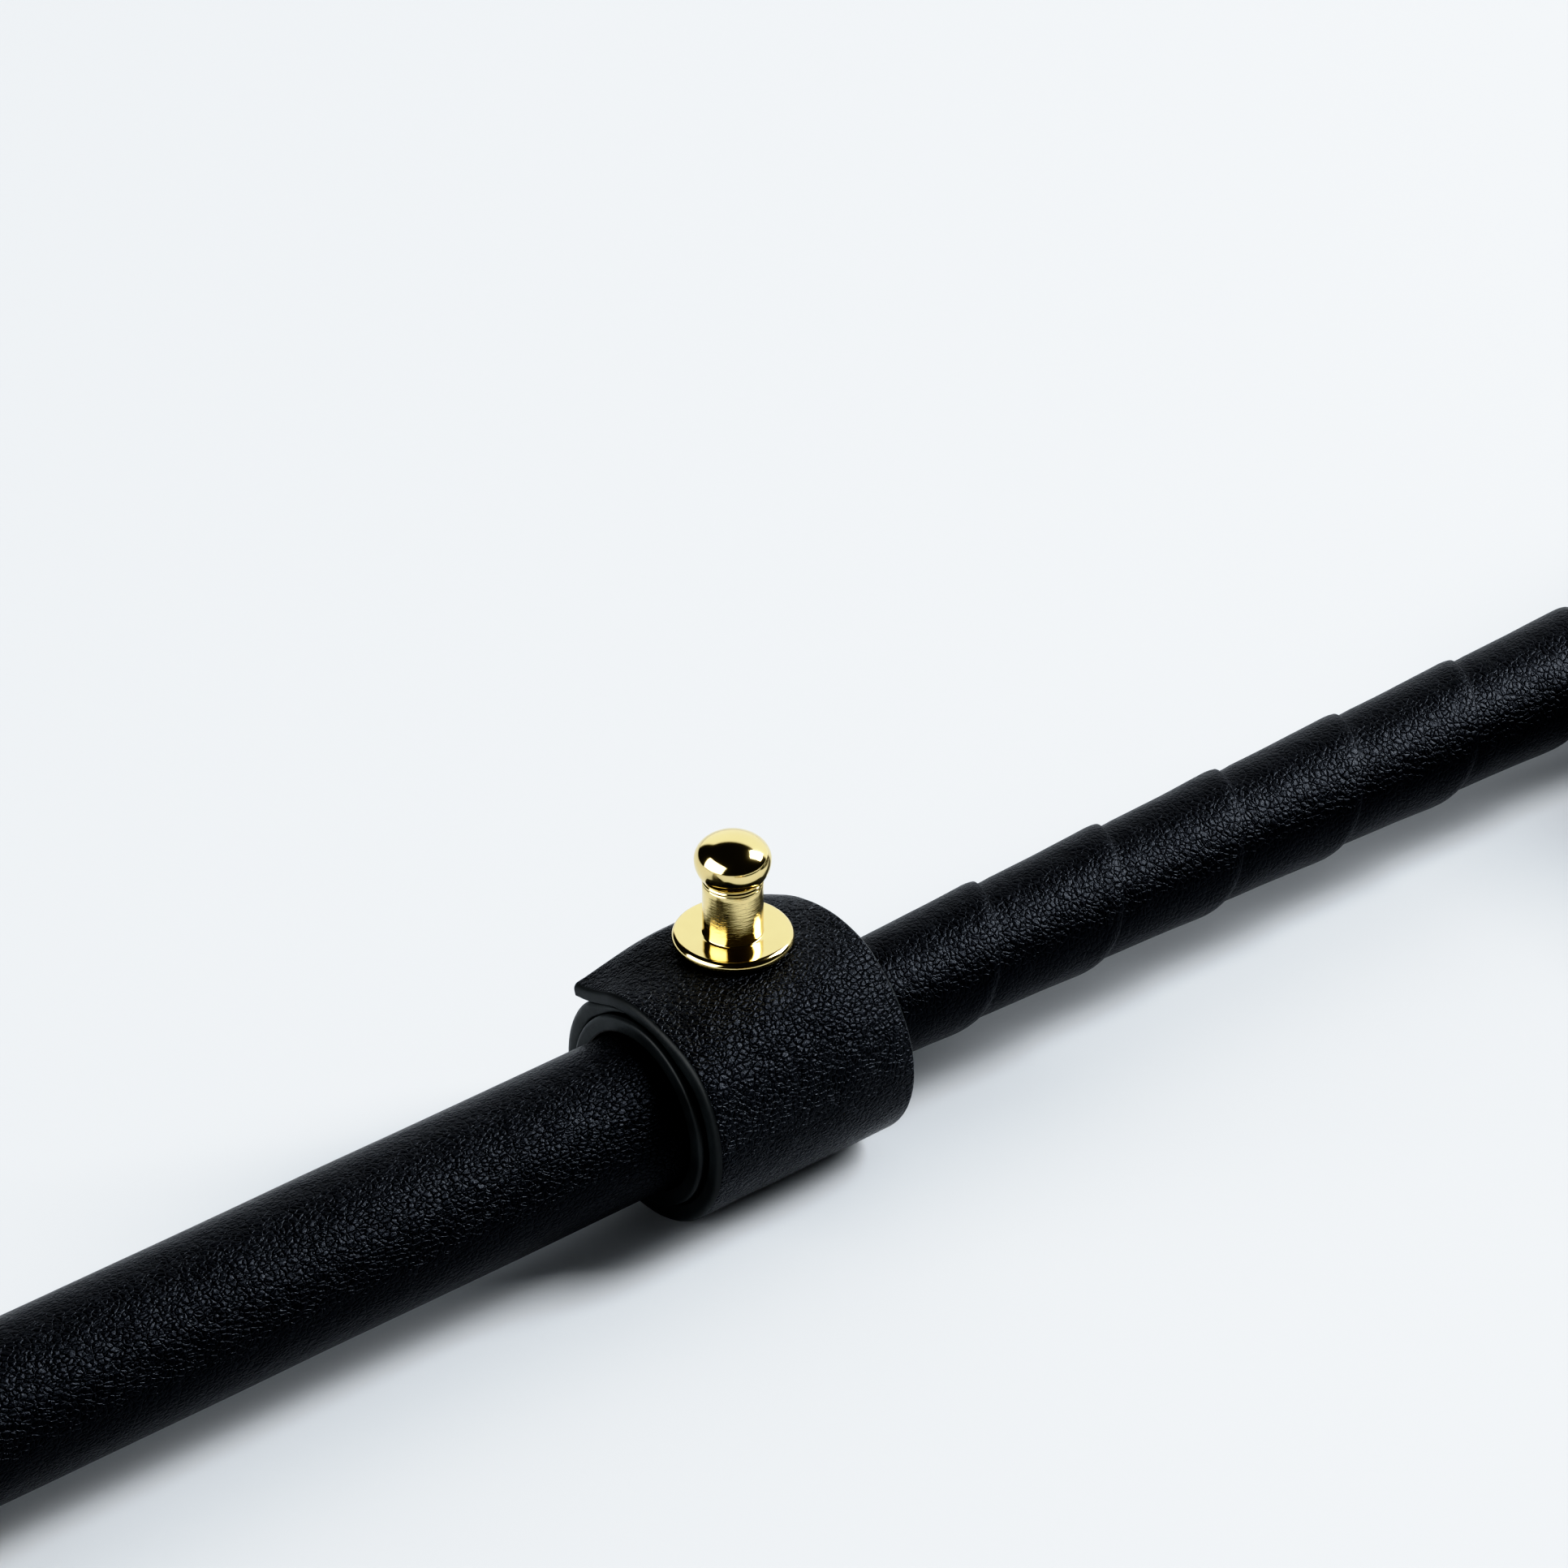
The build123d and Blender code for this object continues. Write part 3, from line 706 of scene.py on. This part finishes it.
REAR_RIM = [(40.5, 13.4), (47, 13.0), (55, 12.65), (66, 12.25), (78, 11.95), (96, 11.7), (112, 11.6),
            (126, 11.3), (142, 11.2), (165, 11.45), (200, 11.8), (240, 12.0), (280, 12.0), (320, 12.0),
            (360, 12.0), (385, 12.0), (400, 11.7), (412, 11.1), (424, 10.7), (436, 10.45)]
STRAP_STATIONS = 190
OUTER_EDGE = 0.55                    # rounding of the strap's edges, in mm across the strap,
OUTER_DEPTH = 0.42                   # and as a share of its thickness
INNER_EDGE = 0.3
INNER_DEPTH = 0.2


MIDDLE_FROM, MIDDLE_TO = 0.45, 0.65  # shares of the width between which the middle line holds


def strap_outside(share):
    """The strap's outside line at a share of its width from the front rim, as (y, z) in mm."""
    lines = []
    for rim in (FRONT_RIM, MIDDLE, REAR_RIM):
        curve = smooth_curve(rim, STRAP_STATIONS)
        a = np.radians(curve[:, 0])
        lines.append(np.stack([curve[:, 1] * np.cos(a), curve[:, 1] * np.sin(a)], -1))
    front, mid, rear = lines
    if share < MIDDLE_FROM:
        t = share / MIDDLE_FROM
        w = math.sin(t * math.pi / 2) ** 1.3
        return front * (1 - w) + mid * w
    t = (share - MIDDLE_TO) / 0.35 if share > MIDDLE_TO else 0.0
    w = t ** 2.2
    return mid * (1 - w) + rear * w


def strap_thickness():
    """Thickness at each station: full round the keeper, thinner in the flap, skived at the tuck."""
    t = np.linspace(0, 1, STRAP_STATIONS)
    places = [0.0, 0.1, 0.26, 0.32, 0.8, 0.87, 0.95, 1.0]
    return np.interp(t, places, [1.35, 1.4, 1.6, 1.9, 1.95, 1.6, 0.7, 0.35])


def make_strap():
    """Keeper strap, once round: the free flap, the ring and the end tucked under the flap."""
    thickness = strap_thickness()
    # across the strap: outside from front to rear, round the rear edge, inside, round the front edge
    shares = np.linspace(0.0, 1.0, 27)
    quarter = np.linspace(0, math.pi / 2, 6)
    section = [(OUTER_EDGE + s * (KEEPER_WIDTH - 2 * OUTER_EDGE), 0.0) for s in shares]
    section += [(KEEPER_WIDTH - OUTER_EDGE * (1 - math.sin(a)), OUTER_DEPTH * (1 - math.cos(a)))
                for a in quarter[1:]]
    section += [(KEEPER_WIDTH - INNER_EDGE * (1 - math.cos(a)), 1 - INNER_DEPTH * (1 - math.sin(a)))
                for a in quarter]
    section += [(INNER_EDGE + s * (KEEPER_WIDTH - 2 * INNER_EDGE), 1.0) for s in shares[1:-1][::-1]]
    section += [(INNER_EDGE * (1 - math.sin(a)), 1 - INNER_DEPTH * (1 - math.cos(a))) for a in quarter]
    section += [(OUTER_EDGE * (1 - math.cos(a)), OUTER_DEPTH * (1 - math.sin(a))) for a in quarter[:-1]]
    columns = len(section)
    points = np.zeros((STRAP_STATIONS, columns, 3))
    for j, (x, level) in enumerate(section):
        share = min(max(x / KEEPER_WIDTH, 0.0), 1.0)
        outer = strap_outside(share)
        tangent = np.gradient(outer, axis=0)
        tangent /= np.linalg.norm(tangent, axis=1)[:, None]
        inward = np.stack([-tangent[:, 1], tangent[:, 0]], -1)
        depth = thickness * level
        line = outer + inward * depth[:, None]
        for i in range(STRAP_STATIONS):
            y, z = line[i]
            lump = 0.035 * soft_noise(x * 0.25, i * 0.06, 2.0)
            scale = 1 + lump / max(1.0, math.hypot(y, z)) if level < 0.5 else 1.0
            points[i, j] = (RIM_X + x * MM, NEAR_AXIS.y + y * scale * MM, NEAR_AXIS.z + z * scale * MM)

    def pick(i, j):
        return 1 if 0.02 < (section[j][1] + section[(j + 1) % columns][1]) / 2 < 0.98 else 0
    strap = grid_mesh("keeper_strap_leather", points, close_cols=True,
                      uv=lambda i, j: (i * 0.02, j / columns),
                      materials=[KEEPER_LEATHER, EDGE_PAINT], pick=pick, caps=True)
    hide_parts("keeper_strap")
    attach(strap, "keeper")


make_strap()


def make_liner():
    """Lining ring, its rims painted outside and raw at the bore."""
    low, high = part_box("keeper_liner")
    length = (high.x - low.x) / MM
    bore, outside = 8.3, 9.98
    outline = rounded([(0.0, bore, 0.22), (length, bore, 0.22), (length, outside, 0.5),
                       (0.0, outside, 0.5)], 0.5, 7)
    dense = []
    for a, b in zip(outline, np.roll(outline, -1, axis=0)):
        steps = max(1, int(np.linalg.norm(b - a) / 2.0))
        dense += [a + (b - a) * t / steps for t in range(steps)]
    rows = np.array(dense)

    def pick(i, j):
        x, r = rows[i]
        if 0.6 < x < length - 0.6:
            return 0
        return 2 if r < bore + 0.12 else 1

    def wobble(x, angle, r):
        return 0.05 * soft_noise(x * 0.3, math.cos(angle) * 2, math.sin(angle) * 2)
    origin = Vector((low.x, NEAR_AXIS.y, NEAR_AXIS.z))
    liner = lathe("keeper_lining", rows, origin, (1, 0, 0), 128, [LINER_LEATHER, EDGE_PAINT, RAW_EDGE],
                  pick, wobble=wobble)
    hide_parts("keeper_liner")
    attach(liner, "keeper")


make_liner()


def make_stud():
    """Turned stud: flange with a rounded rim, post, thin bead and a ball flattened on top."""
    flange_r, flange, post_r, ball_r = 6.0, 1.25, 3.0, 3.8
    ball_z = 9.65
    lower, upper = 0.88, 0.67        # the ball's half heights, as shares of its radius
    neck = math.acos(post_r / ball_r)
    rim = flange / 2
    outline = [(0.0, 0.3)]
    for t in np.linspace(-math.pi / 2, math.pi / 2, 15):
        outline.append((rim + rim * math.sin(t), flange_r - rim + rim * math.cos(t)))
    outline += [(flange, 4.6), (flange, 3.4), (flange + 0.01, 3.06), (flange + 0.05, 3.02),
                (flange + 0.12, post_r), (flange + 0.8, post_r)]
    neck_z = ball_z - ball_r * lower * math.sin(neck)
    bead = [(1.2, 3.0), (0.62, 3.0), (0.58, 2.97), (0.50, 2.90), (0.42, 2.97), (0.34, 3.05),
            (0.26, 3.05), (0.18, 2.97), (0.10, 2.91), (0.03, 2.96)]
    outline += [(neck_z - below, radius) for below, radius in bead]
    for t in np.linspace(-neck, 0.0, 12)[:-1]:
        outline.append((ball_z + ball_r * lower * math.sin(t), ball_r * math.cos(t)))
    for t in np.linspace(0.0, math.pi / 2, 26):
        outline.append((ball_z + ball_r * upper * math.sin(t), max(0.02, ball_r * math.cos(t))))

    def pick(i, j):
        return 1 if flange + 0.1 < outline[i][0] < neck_z - 0.6 else 0
    obj = lathe("ball_stud", np.array(outline), STUD_AT, (0, 0, 1), 128, [GOLD, TURNED_GOLD], pick,
                closed=False)
    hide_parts("stud")
    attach(obj, "keeper")


make_stud()


def make_gate_spring(prefix):
    """Coil spring under the gate, its end turns closed; the real one shortens as the gate opens, this
    one is built at one length and rides on the hook.
    """
    low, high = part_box(prefix + "_gate_spring")
    wire = 0.22
    coil = (high.x - low.x) / MM / 2 - wire
    height = (high.z - low.z) / MM - 2 * wire
    turns, closed = 6.0, 0.8         # all turns, and the flat ones at each end
    per_turn, around = 28, 10
    steps = int(turns * per_turn) + 1
    points = np.zeros((steps, around, 3))
    for i in range(steps):
        share = i / (steps - 1)
        eased = min(max((share * turns - closed) / (turns - 2 * closed), 0.0), 1.0)
        a = share * turns * 2 * math.pi
        rise = height * eased + 0.1 * (share - 0.5)
        for j in range(around):
            b = 2 * math.pi * j / around
            r = coil + wire * math.cos(b)
            z = wire + min(max(rise, 0.0), height) + wire * math.sin(b)
            points[i, j] = ((low.x + high.x) / 2 + r * math.cos(a) * MM,
                            (low.y + high.y) / 2 + r * math.sin(a) * MM, low.z + z * MM)
    spring = grid_mesh(prefix + "_spring", points, close_cols=True,
                       uv=lambda i, j: (i * 0.02, j / around), materials=[SPRING_STEEL], caps=True)
    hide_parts(prefix + "_gate_spring")
    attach(spring, prefix + "_hook")
    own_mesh(spring)


for side_name in ENDS:
    make_gate_spring(side_name)


# ---------------------------------------------------------------- CAD nodes that stay
def paint(node, material):
    """Gives a piece that stays as the CAD made it its material."""
    obj = next(o for o in bpy.data.objects if o.get("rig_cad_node") == node)
    if not obj.material_slots:
        obj.data.materials.append(material)
    for entry in obj.material_slots:
        entry.link = "OBJECT"
        entry.material = material


for side_name in ENDS:
    for part, look in (("sleeve_tube", ALUMINIUM), ("rope_core_end", COTTON), ("end_cap", TURNED_BRASS),
                       ("cap_pin", BRASS), ("swivel_collar", BRASS), ("hook", BRASS), ("gate", BRASS),
                       ("gate_pin", BRASS)):
        paint(side_name + "_" + part, look)
paint("stud_screw", GOLD)


# ---------------------------------------------------------------- floor, light
def make_floor():
    """Plain pale floor."""
    size = 6.0
    mesh = bpy.data.meshes.new("floor")
    mesh.from_pydata([(-size, -size, 0), (size, -size, 0), (size, size, 0), (-size, size, 0)], [],
                     [(0, 1, 2, 3)])
    n = Nodes("floor")
    n.shader.inputs["Base Color"].default_value = (0.61, 0.64, 0.67, 1.0)
    n.shader.inputs["Roughness"].default_value = 0.9
    n.shader.inputs["Specular IOR Level"].default_value = 0.0
    mesh.materials.append(n.material)
    floor = bpy.data.objects.new("floor", mesh)
    bpy.context.collection.objects.link(floor)


make_floor()


def soft_box(name, direction, distance, size, radiance):
    """Rectangular light facing the keeper; radiance is how bright it looks in a mirror."""
    data = bpy.data.lights.new(name, "AREA")
    data.shape = "RECTANGLE"
    data.size, data.size_y = size
    data.energy = radiance * math.pi * size[0] * size[1]
    lamp = bpy.data.objects.new(name, data)
    direction = Vector(direction).normalized()
    lamp.location = LOOK_AT + direction * distance
    lamp.rotation_mode = "QUATERNION"
    lamp.rotation_quaternion = (-direction).to_track_quat("-Z", "Y")
    bpy.context.collection.objects.link(lamp)


def toward(round_degrees, up_degrees):
    """Direction at an angle from +X towards +Y, and an angle above the floor."""
    a, b = math.radians(round_degrees), math.radians(up_degrees)
    return Vector((math.cos(a) * math.cos(b), math.sin(a) * math.cos(b), math.sin(b)))


LAMP_DISTANCE = 2.6
soft_box("right_light", toward(-21, 36), LAMP_DISTANCE, (0.98, 1.55), 18.5)
soft_box("left_light", toward(172, 24), LAMP_DISTANCE, (3.0, 2.1), 2.8)


WALL_HEADING = 39.0                  # degrees from +X towards +Y
WALL_LEFT = (-1.25, -1.0)            # tangents of the angles at which the wall fades out
WALL_RIGHT = (1.45, 1.1)
WALL_TOP = (1.32, 1.12)
STUDIO_DARK = 0.025
WALL_STRENGTH = 0.85


def make_world():
    """White wall behind the object, up to about 50 degrees; dark studio elsewhere."""
    world = bpy.data.worlds.new("studio")
    world.use_nodes = True
    tree = world.node_tree
    background = tree.nodes["Background"]
    source = tree.nodes.new("ShaderNodeTexCoord")

    def calculate(operation, a, b):
        """Math node; b is a socket or a number."""
        node = tree.nodes.new("ShaderNodeMath")
        node.operation = operation
        tree.links.new(a, node.inputs[0])
        if isinstance(b, float):
            node.inputs[1].default_value = b
        else:
            tree.links.new(b, node.inputs[1])
        return node.outputs["Value"]

    def part(axis):
        """The view direction's component along an axis."""
        node = tree.nodes.new("ShaderNodeVectorMath")
        node.operation = "DOT_PRODUCT"
        node.inputs[1].default_value = axis
        tree.links.new(source.outputs["Generated"], node.inputs[0])
        return node.outputs["Value"]

    def fade(value, low, high):
        """0 at low, 1 at high, smooth between."""
        node = tree.nodes.new("ShaderNodeMapRange")
        node.interpolation_type = "SMOOTHSTEP"
        node.inputs["From Min"].default_value = low
        node.inputs["From Max"].default_value = high
        tree.links.new(value, node.inputs["Value"])
        return node.outputs["Result"]

    up = Vector((0, 0, 1))
    wall = toward(WALL_HEADING, 0)
    ahead = part(wall)
    guarded = calculate("MAXIMUM", ahead, 0.001)
    across = calculate("DIVIDE", part(wall.cross(up)), guarded)
    height = calculate("DIVIDE", part(up), guarded)
    lit = fade(ahead, 0.0, 0.02)
    for value, limits in ((across, WALL_RIGHT), (across, WALL_LEFT), (height, WALL_TOP)):
        lit = calculate("MULTIPLY", lit, fade(value, *limits))
    mix = tree.nodes.new("ShaderNodeMapRange")
    mix.inputs["To Min"].default_value = STUDIO_DARK
    mix.inputs["To Max"].default_value = 1.0
    tree.links.new(lit, mix.inputs["Value"])
    tint = tree.nodes.new("ShaderNodeVectorMath")
    tint.operation = "SCALE"
    tint.inputs[0].default_value = (0.96, 0.985, 1.0)
    tree.links.new(mix.outputs["Result"], tint.inputs["Scale"])
    tree.links.new(tint.outputs["Vector"], background.inputs["Color"])
    background.inputs["Strength"].default_value = WALL_STRENGTH
    bpy.context.scene.world = world


CONTRAST = ((0.02, 0.0025), (0.05, 0.018), (0.12, 0.095), (0.25, 0.27), (0.42, 0.52), (0.72, 0.91))
COMBINED = 3                         # the curve mapping's curve for all three colours


def make_contrast():
    """Deep blacks and clean highlights."""
    view = bpy.context.scene.view_settings
    view.view_transform = "Standard"
    view.use_curve_mapping = True
    curve = view.curve_mapping.curves[COMBINED]
    curve.points[0].location = (0.0, 0.0)
    curve.points[1].location = (1.0, 1.0)
    for at in CONTRAST:
        curve.points.new(*at)
    view.curve_mapping.update()


make_world()
make_contrast()
